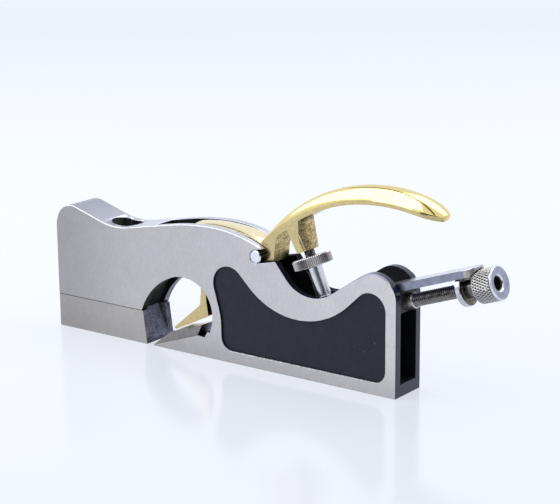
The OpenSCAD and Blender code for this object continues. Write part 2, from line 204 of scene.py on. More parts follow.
def surface(name, light, dark, smooth, rough, metal=1.0, patches=400, grain=2500, share=0.4, relief=0.01,
            strength=0.25, lines=None, turned=None, groove_and_crest_light=None, shaded_nose_and_sole=None, lit_by_facing=None, spots=None, **sheen):
    """A material built on the mottle effect, with the other effects added where they are given. relief is the
    bump's height in millimetres, and sheen takes other Principled inputs by name."""
    material = bpy.data.materials.new(name)
    material.use_nodes = True
    tree = material.node_tree
    skin = tree.nodes["Principled BSDF"]
    skin.inputs["Metallic"].default_value = metal
    for key, value in sheen.items():
        skin.inputs[key.replace("_", " ").title().replace("Ior", "IOR")].default_value = value
    effect = shade(tree, "Group", {
        "Light": (*light, 1), "Dark": (*dark, 1), "Smooth": smooth, "Rough": rough,
        "Patches per metre": patches, "Grain per metre": grain, "Grain share": share}, node_tree=mottle)
    colour, height = effect.outputs["Color"], effect.outputs["Height"]
    for group, settings in (
            (scratches, lines), (rings, turned), (groove_shade_crest_glint, groove_and_crest_light), (nose_and_sole_shade, shaded_nose_and_sole), (facing_light_and_shade, lit_by_facing)):
        if settings:
            added = shade(tree, "Group", settings, node_tree=group)
            tinted = shade(tree, "Mix", {"Factor": 1.0, 6: colour, 7: added.outputs["Tone"]},
                           data_type="RGBA", blend_type="MULTIPLY")
            colour = tinted.outputs[2]
            if "Height" in added.outputs:
                height = shade(tree, "Mix", {"Factor": 0.6, 2: height, 3: added.outputs["Height"]}).outputs[0]
    if spots:
        shape, tint = spots
        added = shade(tree, "Group", shape, node_tree=specks)
        spotted = shade(tree, "Mix", {"Factor": added.outputs["Mask"], 6: colour, 7: (*tint, 1)},
                        data_type="RGBA")
        colour = spotted.outputs[2]
    bump = shade(tree, "Bump", {"Height": height, "Strength": strength, "Distance": relief * mm})
    tree.links.new(colour, skin.inputs["Base Color"])
    tree.links.new(effect.outputs["Roughness"], skin.inputs["Roughness"])
    tree.links.new(bump.outputs["Normal"], skin.inputs["Normal"])
    return material


def own_mesh(cad_node, merge=0.2):
    """A mesh of our own from a CAD piece, welded. Faces within merge degrees of flat become one again."""
    made = bmesh.new()
    made.from_mesh(frame["nodes"][cad_node].data)
    bmesh.ops.remove_doubles(made, verts=made.verts, dist=0.002 * mm)
    bmesh.ops.dissolve_limit(made, angle_limit=math.radians(merge), verts=made.verts, edges=made.edges)
    return made


def paint(mesh, rule):
    """Gives each face the finish that rule picks for it."""
    for face in mesh.faces:
        face.material_index = rule(face)


def break_edges(mesh, width, finish, chosen=lambda edge: True, steps=2, sharp=32):
    """Rounds the chosen edges over, where they turn more than sharp degrees. The narrow faces get finish."""
    limit = math.radians(sharp)
    edges = [e for e in mesh.edges if len(e.link_faces) == 2 and e.calc_face_angle(0) > limit and chosen(e)]
    bmesh.ops.bevel(mesh, geom=edges, offset=width * mm, offset_type="OFFSET", segments=steps, profile=0.5,
                    affect="EDGES", clamp_overlap=False, material=finish)


def show(mesh, name, materials, place=Matrix.Identity(4), crease=38):
    """Turns a bmesh into a shown object with smooth rounds, crisp corners and even flats."""
    data = bpy.data.meshes.new(name)
    mesh.to_mesh(data)
    mesh.free()
    for material in materials:
        data.materials.append(material)
    data.shade_smooth()
    data.set_sharp_from_angle(angle=math.radians(crease))
    made = bpy.data.objects.new(name, data)
    made.matrix_world = place
    scene.collection.objects.link(made)
    flats = made.modifiers.new("flat_flats", "WEIGHTED_NORMAL")
    flats.keep_sharp = True
    flats.weight = 100
    return made


# The ground sides are painted darker towards the nose and along the sole: painted shade.
ground_iron = surface("ground_iron", (0.735, 0.715, 0.71), (0.665, 0.645, 0.64), 0.34, 0.42, patches=140,
                      grain=3200, share=0.7,
                      lines={"Along X": 3800.0, "Along Y": 600.0, "Along Z": 500.0, "Depth": 0.12},
                      shaded_nose_and_sole={"Nose": 0.58, "Middle": 0.8, "Heel": 1.0, "Sole": 0.8})
filed_iron = surface("filed_iron", (0.60, 0.61, 0.65), (0.44, 0.45, 0.49), 0.26, 0.38)
# The top is painted darker towards the nose: painted shade.
polished_top = surface("polished_top", (0.68, 0.69, 0.755), (0.60, 0.61, 0.67), 0.24, 0.34,
                       lines={"Along X": 400.0, "Along Y": 4000.0, "Along Z": 400.0, "Depth": 0.1},
                       shaded_nose_and_sole={"Nose": 0.6, "Middle": 1.0, "Heel": 1.0, "Sole": 1.0})
enamel = surface("enamel", (0.012, 0.016, 0.032), (0.003, 0.005, 0.012), 0.34, 0.5, metal=0.0, patches=300,
                 grain=1500, share=0.7, relief=0.05, strength=0.6, specular_ior_level=0.38,
                 spots=({"Specks per metre": 190.0, "Size": 0.13, "Share": 0.26}, (0.12, 0.13, 0.15)))
# The valley under the handle gets a darker, duller copy of the heel's enamel: painted shade.
valley_shaded_enamel = surface("valley_shaded_enamel", (0.006, 0.008, 0.013), (0.004, 0.005, 0.008), 0.5, 0.65, metal=0.0,
                        specular_ior_level=0.04)
worn_top = surface("worn_top", (0.36, 0.385, 0.49), (0.24, 0.26, 0.34), 0.28, 0.42, metal=0.9, patches=260)
heel_enamel = surface("heel_enamel", (0.010, 0.020, 0.060), (0.005, 0.011, 0.033), 0.16, 0.3, metal=0.0,
                      relief=0.04, strength=0.4, ior=1.5)
inner_black = surface("inner_black", (0.006, 0.007, 0.01), (0.003, 0.003, 0.005), 0.5, 0.7, metal=0.0,
                      specular_ior_level=0.25)
chipped = surface("chipped_rim", (0.62, 0.62, 0.62), (0.03, 0.035, 0.05), 0.35, 0.5, patches=520, grain=1700,
                  share=0.6)
# The far strip inside the arch is painted lighter than the black: painted light.
lit_arch_rim = surface("lit_arch_rim", (0.30, 0.31, 0.36), (0.05, 0.05, 0.065), 0.3, 0.45, metal=0.7, patches=500)
# A dark edge, painted shade: a painted contact shadow on the sole's lower edges, and a dark outline round the
# toe's sides.
dark_edge_shade = surface("dark_edge_shade", (0.13, 0.125, 0.125), (0.07, 0.068, 0.07), 0.4, 0.5, patches=500)
GROUND, TOP, ENAMEL, HEEL, INNER, FILED, CHIPPED, VALLEY_SHADED, WORN, RIM, SOLE_SHADE = range(11)


def casting_finish(face):
    """Sides, sole and nose are ground, and the top is bright as far as the lip. The arch's far strip is
    painted lighter and the valley darker, as painted light and shade. The rest is enamelled.
    """
    normal = face.normal
    middle = face.calc_center_median()
    reach = [v.co.y for v in face.verts]
    far = max(abs(y) for y in reach)
    near = min(abs(y) for y in reach)
    one_side = min(reach) * max(reach) > 0
    if abs(normal.y) > square_on and abs(middle.y) > side_y - near_by:
        return GROUND
    if one_side and near > recess_y - near_by / 2:
        return ENAMEL
    if far < slot_y + near_by / 2:
        return INNER
    if normal.z < -square_on and middle.z < 1 * mm:
        return GROUND
    if normal.x < -square_on and middle.x < toe_x + 1 * mm:
        return GROUND
    # Inside the arch, only the far strip that faces the heel is painted lighter, as painted light.
    if middle.z < arch_top and middle.x < lip_x:
        return RIM if min(reach) > slot_y - near_by and normal.x > 0.1 else INNER
    if middle.x < lip_x - 0.8 * mm:
        return TOP
    # The valley gets the darker enamel, as painted shade.
    if middle.x < valley_end:
        return VALLEY_SHADED
    return HEEL


def side_edge(edge, against):
    """Whether an edge lies on a ground side and its other face has one of the given finishes."""
    if any(abs(v.co.y) < side_y - hair for v in edge.verts):
        return False
    found = {face.material_index for face in edge.link_faces}
    return GROUND in found and bool(found & set(against))


def faces_up(edge):
    """Whether one of an edge's faces looks up, as at the lower rim of the side recess."""
    return max(face.normal.z for face in edge.link_faces) > 0.8


def slot_rim(edge, finish):
    """Whether an edge is the mouth of the slot under a top of the given finish."""
    found = {face.material_index for face in edge.link_faces}
    level = all(abs(abs(v.co.y) - slot_y) < hair for v in edge.verts)
    return level and found == {finish, INNER}


casting = own_mesh("body")
paint(casting, casting_finish)
for width, finish, steps, chosen in (
        (0.42, FILED, 3, lambda e: side_edge(e, [TOP])),
        (0.5, WORN, 3, lambda e: side_edge(e, [HEEL]) and min(v.co.z for v in e.verts) > hump_z),
        (0.3, HEEL, 2, lambda e: side_edge(e, [HEEL])),
        (0.16, WORN, 1, lambda e: side_edge(e, [VALLEY_SHADED])),
        (0.12, INNER, 1, lambda e: side_edge(e, [INNER])),
        (0.34, CHIPPED, 1, lambda e: side_edge(e, [ENAMEL]) and faces_up(e)),
        (0.14, CHIPPED, 1, lambda e: side_edge(e, [ENAMEL]) and not faces_up(e)),
        # The sole's lower edges are painted dark: a painted contact shadow.
        (0.2, SOLE_SHADE, 1, lambda e: side_edge(e, [GROUND]) and max(v.co.z for v in e.verts) < near_by),
        (0.14, TOP, 1, lambda e: slot_rim(e, TOP)),
        (0.2, HEEL, 2, lambda e: slot_rim(e, HEEL)),
        (0.2, HEEL, 2, lambda e: slot_rim(e, VALLEY_SHADED))):
    break_edges(casting, width, finish, chosen, steps, sharp=60)
body = show(casting, "casting",
            [ground_iron, polished_top, enamel, heel_enamel, inner_black, filed_iron, chipped, valley_shaded_enamel,
             worn_top, lit_arch_rim, dark_edge_shade])
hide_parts("body")
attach(body, "plane")

# ---- toe -------------------------------------------------------------------------------------
# The front of the sole is a separate iron block on a tongue, ground with the casting so that the
# joint hardly shows. Its rear face, at the mouth, is left as milled and blackened.

milled_black = surface("milled_black", (0.19, 0.20, 0.28), (0.085, 0.09, 0.13), 0.3, 0.46, patches=260,
                       grain=2400, share=0.3, metal=0.6, relief=0.02, strength=0.4,
                       lines={"Along X": 600.0, "Along Y": 900.0, "Along Z": 3000.0, "Depth": 0.8})
# The toe's sides are painted darker towards the nose and along the sole: painted shade.
toe_iron = surface("toe_iron", (0.655, 0.62, 0.60), (0.585, 0.555, 0.535), 0.34, 0.42, patches=140,
                   grain=3200, share=0.7,
                   lines={"Along X": 3800.0, "Along Y": 600.0, "Along Z": 500.0, "Depth": 0.12},
                   shaded_nose_and_sole={"Nose": 0.64, "Middle": 0.8, "Heel": 1.0, "Sole": 0.9})
TOE_GROUND, TOE_REAR, TOE_EDGE_SHADE = range(3)
rear_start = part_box("toe")[1].x - 6 * mm


def toe_finish(face):
    """The rear end is milled and black, apart from its two sides."""
    middle = face.calc_center_median()
    outside = abs(face.normal.y) > square_on and abs(middle.y) > side_y - near_by
    return TOE_REAR if middle.x > rear_start and not outside else TOE_GROUND


def toe_outline(edge):
    """Whether an edge goes round one of the two sides."""
    return all(abs(v.co.y) > side_y - hair for v in edge.verts)


toe_mesh = own_mesh("toe")
paint(toe_mesh, toe_finish)
# The toe's outline gets the dark edge too: painted shade.
break_edges(toe_mesh, 0.12, TOE_EDGE_SHADE, toe_outline, steps=1, sharp=40)
toe = show(toe_mesh, "toe_block", [toe_iron, milled_black, dark_edge_shade])
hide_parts("toe")
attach(toe, "toe_block")

# ---- toe screws ------------------------------------------------------------------------------
# A socket head screw with a washer, down in the well, clamps the toe. A socket grub screw in the nose
# holds a button in the toe's tongue and sets the mouth. Both are black oxide steel, and the washer is bright.

black_oxide = surface("black_oxide", (0.07, 0.072, 0.08), (0.03, 0.031, 0.036), 0.28, 0.42, patches=900)
washer_steel = surface("washer_steel", (0.52, 0.52, 0.54), (0.36, 0.36, 0.38), 0.28, 0.4, patches=1200,
                       turned={"Rings per metre": 5000.0, "Depth": 0.25})
joints = {row["name"]: row for row in frame["joints"]}


def on_axis(joint):
    """A frame on a joint's axis, with its Z along the axis."""
    turn = Vector(joints[joint]["axis"]).to_track_quat("Z", "Y").to_matrix().to_4x4()
    return Matrix.Translation(Vector(joints[joint]["pos_m"])) @ turn


def lathe(profile, around, cut=None, closed=False):
    """Turns rows of (height, radius, finish) in millimetres about Z. cut(angle, height, radius) may reshape
    a ring. closed joins the last row to the first, round a bore."""
    made = bmesh.new()
    circles = []
    for height, radius, finish in profile:
        if radius == 0:
            circles.append([made.verts.new((0, 0, height * mm))])
            continue
        circle = []
        for k in range(around):
            angle = math.tau * k / around
            reach = (cut(angle, height, radius) if cut else radius) * mm
            circle.append(made.verts.new((reach * math.cos(angle), reach * math.sin(angle), height * mm)))
        circles.append(circle)
    spans = list(zip(circles, circles[1:], profile[1:]))
    if closed:
        spans.append((circles[-1], circles[0], profile[0]))
    for low, high, (_, _, finish) in spans:
        for k in range(around):
            after = (k + 1) % around
            ring = [low[k % len(low)], low[after % len(low)], high[after % len(high)], high[k % len(high)]]
            made.faces.new(list(dict.fromkeys(ring))).material_index = finish
    return made


def ridged(angle, ridges, depth):
    """How deep the grooves between straight ridges are at an angle."""
    return depth * abs((angle * ridges / math.tau) % 1 * 2 - 1)


# Heights above the sole, then radii.
screw_end, under_head, head_top, socket_floor = 6, 31, 36, 33.5
shank_r, head_r, socket_r = 2.5, 4.25, 2.3


def socket_head(angle, height, radius):
    """Straight ridges on the head's side, and a hexagon for the socket."""
    if radius == head_r:
        return radius - ridged(angle, ridges=36, depth=0.14)
    if radius == socket_r:
        return radius * math.cos(math.pi / 6) / math.cos(angle % (math.pi / 3) - math.pi / 6)
    return radius


lock_rows = [
    (screw_end, 0, 0), (screw_end, shank_r - 0.4, 0), (screw_end + 0.4, shank_r, 0), (under_head, shank_r, 0),
    (under_head, head_r - 0.15, 0), (under_head + 0.15, head_r, 0), (head_top - 1.2, head_r, 0),
    (head_top - 0.6, head_r - 0.15, 0), (head_top, head_r - 0.75, 0), (head_top, socket_r, 0),
    (socket_floor, socket_r, 0), (socket_floor - 0.4, 0, 0)]
lock_screw = show(lathe(lock_rows, 144, socket_head), "toe_lock_screw", [black_oxide],
                  on_axis("toe_lock_turn"))
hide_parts("toe_lock_screw")
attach(lock_screw, "toe_lock")

washer_t, washer_r, washer_hole_r = 1, 4.5, 2.55
washer_low = under_head - washer_t
washer_rows = [
    (washer_low, washer_hole_r, 0), (washer_low, washer_r - 0.1, 0), (washer_low + 0.12, washer_r, 0),
    (under_head - 0.15, washer_r, 0), (under_head, washer_r - 0.15, 0), (under_head, washer_hole_r, 0)]
washer = show(lathe(washer_rows, 72, closed=True), "toe_washer", [washer_steel], on_axis("toe_lock_turn"))
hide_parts("toe_washer")
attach(washer, "toe_lock")

mouth_mesh = own_mesh("mouth_screw")
break_edges(mouth_mesh, 0.08, 0, steps=1, sharp=50)
mouth_screw = show(mouth_mesh, "mouth_screw", [black_oxide])
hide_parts("mouth_screw")
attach(mouth_screw, "mouth_adjuster")

# ---- iron ------------------------------------------------------------------------------------
# The iron is tool steel: a head as wide as the sole with its bevel up, and a shank that tapers to a
# round tail. It is ground all over, lengthwise on top and across its sides.

lapped_steel = surface("lapped_steel", (0.90, 0.91, 0.93), (0.80, 0.81, 0.84), 0.14, 0.24, patches=300,
                       lines={"Along X": 300.0, "Along Y": 4500.0, "Along Z": 300.0, "Depth": 0.08})
# The sides of the head and shank are painted far darker than the top: painted shade.
head_side_shaded = surface("head_side_shaded", (0.31, 0.295, 0.285), (0.235, 0.225, 0.22), 0.32, 0.45, patches=500,
                    lines={"Along X": 4200.0, "Along Y": 500.0, "Along Z": 4200.0, "Depth": 0.2})
shank_side_shaded = surface("shank_side_shaded", (0.33, 0.345, 0.43), (0.235, 0.25, 0.32), 0.28, 0.4, patches=420,
                     grain=2400, lines={"Along X": 700.0, "Along Y": 500.0, "Along Z": 4500.0, "Depth": 0.15})
shank_top = surface("shank_top", (0.74, 0.76, 0.84), (0.62, 0.64, 0.72), 0.2, 0.32, patches=300,
                    lines={"Along X": 250.0, "Along Y": 4500.0, "Along Z": 250.0, "Depth": 0.12})
tail_steel = surface("tail_steel", (0.52, 0.50, 0.47), (0.40, 0.385, 0.36), 0.3, 0.45, patches=800)
HEAD_TOP, HEAD_SIDE_SHADED, SHANK_SIDE_SHADED, SHANK_TOP, TAIL = range(5)
shoulder_x = -4 * mm
tail_x = heel_x + 23.5 * mm


def iron_finish(face):
    """The head is lapped on top, the shank is ground, and the rounded end of the tail is duller. The sides
    are painted darker than the top, as painted shade.
    """
    middle = face.calc_center_median()
    if middle.x > tail_x and face.normal.z < 0.7:
        return TAIL
    if middle.x > shoulder_x and abs(middle.y) < slot_y:
        return SHANK_TOP if face.normal.z > 0.7 else SHANK_SIDE_SHADED
    return HEAD_TOP if face.normal.z > 0.3 or face.normal.z < -0.8 else HEAD_SIDE_SHADED


iron_mesh = own_mesh("iron")
paint(iron_mesh, iron_finish)
break_edges(iron_mesh, 0.1, SHANK_TOP, lambda e: min(v.co.x for v in e.verts) > shoulder_x, steps=1, sharp=50)
iron = show(iron_mesh, "iron", [lapped_steel, head_side_shaded, shank_side_shaded, shank_top, tail_steel], crease=30)
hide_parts("iron")
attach(iron, "cutter")

# ---- adjuster --------------------------------------------------------------------------------
# A rough block in the heel holds a bush that the adjuster screws through. The adjuster's collar and
# knob straddle a rib under the iron, so that turning it moves the iron. All but the block is turned steel.

rough_block = surface("rough_block", (0.06, 0.055, 0.05), (0.012, 0.011, 0.012), 0.4, 0.6, metal=0.7,
                      patches=900, relief=0.08, strength=0.6)
bush_steel = surface("bush_steel", (0.62, 0.60, 0.57), (0.40, 0.385, 0.36), 0.2, 0.36, patches=1100)
block_mesh = own_mesh("adjuster_block")
break_edges(block_mesh, 0.15, 0, steps=1, sharp=60)
block = show(block_mesh, "adjuster_block", [rough_block])
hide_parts("adjuster_block")
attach(block, "plane")

bush_mesh = own_mesh("adjuster_bush")
break_edges(bush_mesh, 0.08, 0, steps=1, sharp=35)
bush = show(bush_mesh, "adjuster_bush", [bush_steel], crease=30)
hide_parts("adjuster_bush")
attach(bush, "plane")

# Painted shade in the thread's grooves and a painted highlight on its crests.
thread_steel = surface("thread_steel", (0.26, 0.25, 0.24), (0.15, 0.145, 0.145), 0.22, 0.4, patches=700,
                       groove_and_crest_light={"Groove": 0.15, "Crest": 1.6, "Low": 0.42, "High": 0.58})
collar_rim = surface("collar_rim", (0.70, 0.72, 0.76), (0.56, 0.58, 0.62), 0.16, 0.28, patches=500,
                     turned={"Rings per metre": 2600.0, "Depth": 0.2})
# The collar's face towards the knob is painted dark brown: a painted reflection of the knob.
collar_face_reflection = surface("collar_face_reflection", (0.30, 0.27, 0.22), (0.16, 0.14, 0.115), 0.2, 0.36, patches=500,
                      turned={"Rings per metre": 4200.0, "Depth": 0.7})
ROD, COLLAR_RIM, COLLAR_FACE_REFLECTION = range(3)
# Places along the adjuster, then radii. The spindle's stub fills the knob's bore.
rod_start, collar_low, collar_high, knob_low, stub_end = -32, 17, 19.5, 24.9, 30.9
rod_r, collar_r, neck_r, bore_r = 2.95, 7, 3.8, 2.6


def v_thread(crest_r, pitch, depth):
    """A cut for the lathe: a V thread, helix and all, on the rows whose radius is crest_r."""
    def cut(angle, height, radius):
        if radius != crest_r:
            return radius
        turn = (height / pitch - angle / math.tau) % 1
        return radius - depth * (1 - abs(2 * turn - 1))
    return cut


spindle_rows = [(rod_start, 0, ROD), (rod_start, rod_r - 0.65, ROD)]
spindle_rows += [(rod_start + 0.4 + 0.16 * k, rod_r, ROD) for k in range(301)]
spindle_rows += [
    (collar_low, 2.4, ROD), (collar_low, collar_r - 0.3, COLLAR_RIM),
    (collar_low + 0.3, collar_r, COLLAR_RIM), (collar_high - 0.3, collar_r, COLLAR_RIM),
    (collar_high, collar_r - 0.3, COLLAR_RIM)]
spindle_rows += [(collar_high - sunk, radius, COLLAR_FACE_REFLECTION) for sunk, radius in (
    (0, 6.1), (0.15, 5.9), (0.15, 4.9), (0, 4.7), (0, neck_r))]
spindle_rows += [
    (knob_low, neck_r, ROD), (knob_low, bore_r, ROD), (stub_end - 0.3, bore_r, ROD),
    (stub_end, bore_r - 0.3, ROD), (stub_end, 0, ROD)]
spindle = show(lathe(spindle_rows, 60, v_thread(rod_r, pitch=1.0, depth=0.52)), "adjuster_spindle",
               [thread_steel, collar_rim, collar_face_reflection], on_axis("depth_turn"), crease=30)
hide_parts("adjuster_spindle")
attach(spindle, "depth_adjuster")

# Painted shade in the knurl's grooves and a painted highlight on its crests.
knurl_plate = surface("knurl_plate", (0.60, 0.585, 0.57), (0.44, 0.43, 0.42), 0.2, 0.34, patches=900,
                      groove_and_crest_light={"Groove": 0.03, "Crest": 1.45, "Low": 0.46, "High": 0.57})
knob_face = surface("knob_face", (0.44, 0.45, 0.535), (0.31, 0.32, 0.395), 0.2, 0.32, patches=350,
                    relief=0.03, strength=0.5, turned={"Rings per metre": 5200.0, "Depth": 0.22})
knob_rim = surface("knob_rim", (0.76, 0.78, 0.83), (0.62, 0.64, 0.70), 0.16, 0.27)
# The bore and the inside of the countersink are painted near black: painted shade.
bore_shade = surface("bore_shade", (0.07, 0.07, 0.07), (0.02, 0.02, 0.02), 0.3, 0.45)
KNURL, FACE, LIP, BORE_SHADE = range(4)
knob_r, knurl_start = 7.2, 25.8
diamonds_around, diamond_lead, diamond_depth = 36, 2.35, 0.42


def diamonds(angle, height, radius):
    """Two crossing families of slanted grooves."""
    if radius != knob_r:
        return radius
    left = (angle * diamonds_around / math.tau + height / diamond_lead) % 1
    right = (angle * diamonds_around / math.tau - height / diamond_lead) % 1
    crest = min(abs(2 * left - 1), abs(2 * right - 1))
    return radius - diamond_depth * min(1, 1.25 * crest)


knob_rows = [(knob_low, bore_r, BORE_SHADE), (knob_low, 6.5, LIP), (knob_low + 0.3, 6.9, LIP), (25.6, 7.05, KNURL)]
knob_rows += [(knurl_start + 0.25 * k, knob_r, KNURL) for k in range(31)]
# A groove, the lip, the dished face and its countersunk bore.
knob_rows += [(33.45, 6.8, KNURL), (33.7, 6.8, KNURL)]
knob_rows += [(33.8, 7.1, LIP), (34.34, 7.15, LIP), (34.58, 6.88, LIP), (34.67, 6.6, LIP)]
knob_rows += [(34.35, 5.4, FACE), (34.1, 4.4, FACE), (33.95, 3.7, FACE)]
knob_rows += [(33.85, 3.5, LIP), (33.4, 3.15, LIP), (33.1, bore_r, BORE_SHADE)]
knob = show(lathe(knob_rows, diamonds_around * 6, diamonds, closed=True), "adjuster_knob",
            [knurl_plate, knob_face, knob_rim, bore_shade], on_axis("depth_turn"), crease=32)
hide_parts("adjuster_knob")
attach(knob, "depth_adjuster")

# ---- lever cap -------------------------------------------------------------------------------
# The lever cap is one brass casting: a nose that presses on the iron, an arm back to the pivot and a
# handle that swells into the palm rest. Its crown is polished, its edges are satin, its web is as cast.

polished_brass = surface("polished_brass", (0.90, 0.74, 0.30), (0.85, 0.68, 0.255), 0.08, 0.13,
                         patches=160, relief=0.002)
satin_brass = surface("satin_brass", (0.67, 0.555, 0.275), (0.60, 0.49, 0.235), 0.2, 0.3, patches=260,
                      lines={"Along X": 500.0, "Along Y": 4000.0, "Along Z": 4000.0, "Depth": 0.14},
                      spots=({"Specks per metre": 420.0, "Size": 0.16, "Share": 0.1}, (0.03, 0.02, 0.008)))
# The rough brass is painted lighter where it faces the heel and darker elsewhere: painted light and shade.
rough_brass = surface("rough_brass", (0.60, 0.46, 0.23), (0.06, 0.045, 0.015), 0.22, 0.38, patches=420,
                      grain=2200, share=0.7, relief=0.14, strength=0.9,
                      lit_by_facing={"Shaded": 0.62, "Lit": 1.4},
                      spots=({"Specks per metre": 1500.0, "Size": 0.35, "Share": 0.25}, (0.02, 0.015, 0.006)))
# The arm top's brass is paler than the crown's: a painted highlight.
lit_arm_brass = surface("lit_arm_brass", (1.0, 0.88, 0.57), (0.95, 0.82, 0.50), 0.12, 0.2, patches=200)
CROWN, SATIN, ROUGH, ARM_LIT = range(4)
# The palm rest's underside follows a circle, and the boss and the web stand below it.
belly_x, belly_z, belly_radius = 86 * mm, -0.8 * mm, 82 * mm
boss_x = joints["clamp_turn"]["pos_m"][0]
web_start, web_end, web_low = boss_x - 15 * mm, boss_x + 9 * mm, 50 * mm
arm_end = joints["lever_rock"]["pos_m"][0] + 6 * mm
facing_up = 0.25


def cap_finish(face):
    """Crown and arm top are polished, and the arm top is paler, a painted highlight; the boss and the rear of
    the web stay rough; the rest is satin.
    """
    middle, normal = face.calc_center_median(), face.normal
    under = math.hypot(middle.x - belly_x, middle.z - belly_z) < belly_radius - 0.2 * mm
    at_web = web_start < middle.x < web_end and middle.z > web_low
    if under and at_web and normal.z < 0.5 and abs(normal.y) < 0.93:
        return ROUGH
    if normal.z > facing_up and middle.x < arm_end:
        return ARM_LIT
    return CROWN if normal.z > facing_up or abs(normal.y) < 0.3 and normal.x > 0.6 else SATIN


cap_mesh = own_mesh("lever_cap", merge=0.05)
paint(cap_mesh, cap_finish)
lever_cap = show(cap_mesh, "lever_cap", [polished_brass, satin_brass, rough_brass, lit_arm_brass], crease=34)
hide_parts("lever_cap")
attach(lever_cap, "lever")

# ---- pivot pin -------------------------------------------------------------------------------
# The lever cap rocks on a plain steel pin pressed through it. The turned ends stand in notches in the
# cheeks, open to the rear, and the pin's sides are painted dark there: painted shade from the notches.

pin_end = surface("pin_end", (0.88, 0.90, 0.94), (0.76, 0.78, 0.83), 0.16, 0.26,
                  turned={"Rings per metre": 3500.0, "Depth": 0.1})
# The pin's sides are painted dark: painted shade.
pin_side_shade = surface("pin_side_shade", (0.10, 0.10, 0.11), (0.03, 0.03, 0.035), 0.25, 0.4, patches=700)
PIN_END, PIN_SIDE_SHADE = range(2)
pin_half, pin_r = 9.45, 2.9
pin_rows = [
    (-pin_half, 0, PIN_END), (-pin_half, pin_r - 0.4, PIN_END), (-pin_half + 0.35, pin_r, PIN_END),
    (pin_half - 0.35, pin_r, PIN_SIDE_SHADE), (pin_half, pin_r - 0.4, PIN_END), (pin_half, 0, PIN_END)]
pin = show(lathe(pin_rows, 64), "lever_pin", [pin_end, pin_side_shade], on_axis("lever_rock"))
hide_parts("lever_pin")
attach(pin, "lever")

# ---- thumb screw -----------------------------------------------------------------------------
# A threaded steel stud in the lever cap's boss carries a knurled, plated wheel. A polished steel foot
# swivels on its lower end and bears on the iron's shank.

# Painted shade in the wheel's grooves and a painted highlight on its crests.
wheel_plate = surface("wheel_plate", (0.44, 0.42, 0.40), (0.32, 0.305, 0.29), 0.24, 0.38, patches=1400,
                      groove_and_crest_light={"Groove": 0.35, "Crest": 1.25, "Low": 0.45, "High": 0.55})
wheel_face = surface("wheel_face", (0.80, 0.80, 0.82), (0.66, 0.66, 0.68), 0.18, 0.3,
                     turned={"Rings per metre": 3500.0, "Depth": 0.2})
foot_steel = surface("foot_steel", (0.74, 0.75, 0.78), (0.64, 0.65, 0.68), 0.24, 0.3, patches=260,
                     relief=0.002)
# Places down the screw from the boss, then radii.
stud_start, stud_shoulder, wheel_low, wheel_high, journal_end = -11, 2.6, 2.8, 7.4, 11.2
stud_r, stud_root, journal_r = 2.5, 2.2, 1.8
stud_rows = [(stud_start, 0, 0), (stud_start, stud_r - 0.4, 0)]
stud_rows += [(stud_start + 0.2 + 0.14 * k, stud_r, 0) for k in range(96)]
stud_rows += [
    (stud_shoulder, stud_root, 0), (wheel_high, stud_root, 0), (wheel_high, journal_r, 0),
    (journal_end - 0.1, journal_r, 0), (journal_end, journal_r - 0.1, 0), (journal_end, 0, 0)]
stud = show(lathe(stud_rows, 48, v_thread(stud_r, pitch=0.8, depth=0.42)), "thumb_stud", [thread_steel],
            on_axis("clamp_turn"), crease=30)
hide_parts("thumb_stud")
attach(stud, "clamp_screw")

WHEEL_SIDE, WHEEL_FACE = range(2)
wheel_r, wheel_hole_r = 8.7, 2.25
wheel_ridges = 60


def straight_knurl(angle, height, radius):
    """Straight ridges round the wheel."""
    return radius - ridged(angle, wheel_ridges, depth=0.34) if radius == wheel_r else radius


wheel_rows = [
    (wheel_low, wheel_hole_r, WHEEL_FACE), (wheel_low, wheel_r - 0.7, WHEEL_FACE),
    (wheel_low + 0.15, wheel_r - 0.35, WHEEL_FACE), (wheel_low + 0.5, wheel_r, WHEEL_FACE),
    (wheel_high - 0.4, wheel_r, WHEEL_SIDE), (wheel_high - 0.15, wheel_r - 0.35, WHEEL_FACE),
    (wheel_high, wheel_r - 0.6, WHEEL_FACE), (wheel_high, wheel_hole_r, WHEEL_FACE)]
wheel = show(lathe(wheel_rows, wheel_ridges * 6, straight_knurl, closed=True), "thumb_wheel",
             [wheel_plate, wheel_face], on_axis("clamp_turn"), crease=30)
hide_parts("thumb_wheel")
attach(wheel, "clamp_screw")

foot_low, foot_end, foot_r, dome_r = wheel_high + 0.05, 21.45, 3.35, 12
cup_floor, cup_r = journal_end + 0.2, 1.85
foot_rows = [
    (cup_floor, 0, 0), (cup_floor, cup_r, 0), (foot_low, cup_r, 0),
    (foot_low, foot_r - 0.25, 0), (foot_low + 0.15, foot_r - 0.05, 0), (foot_low + 0.25, foot_r, 0),
    (20.4, foot_r, 0), (20.75, foot_r - 0.1, 0), (20.95, foot_r - 0.3, 0)]
foot_rows += [(foot_end - dome_r + math.sqrt(dome_r ** 2 - r ** 2), r, 0) for r in (2.8, 2.2, 1.5, 0.8)]
foot_rows += [(foot_end, 0, 0)]
foot = show(lathe(foot_rows, 72), "thumb_foot", [foot_steel], on_axis("clamp_turn"), crease=40)
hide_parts("thumb_foot")
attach(foot, "clamp_foot")

# ---- camera and studio -----------------------------------------------------------------------
# The plane stands on a pale paper sweep between two soft boxes, as small tools are shown for sale. A dark
# drape behind the camera and a narrow dark boom overhead give the polished brass something to reflect.

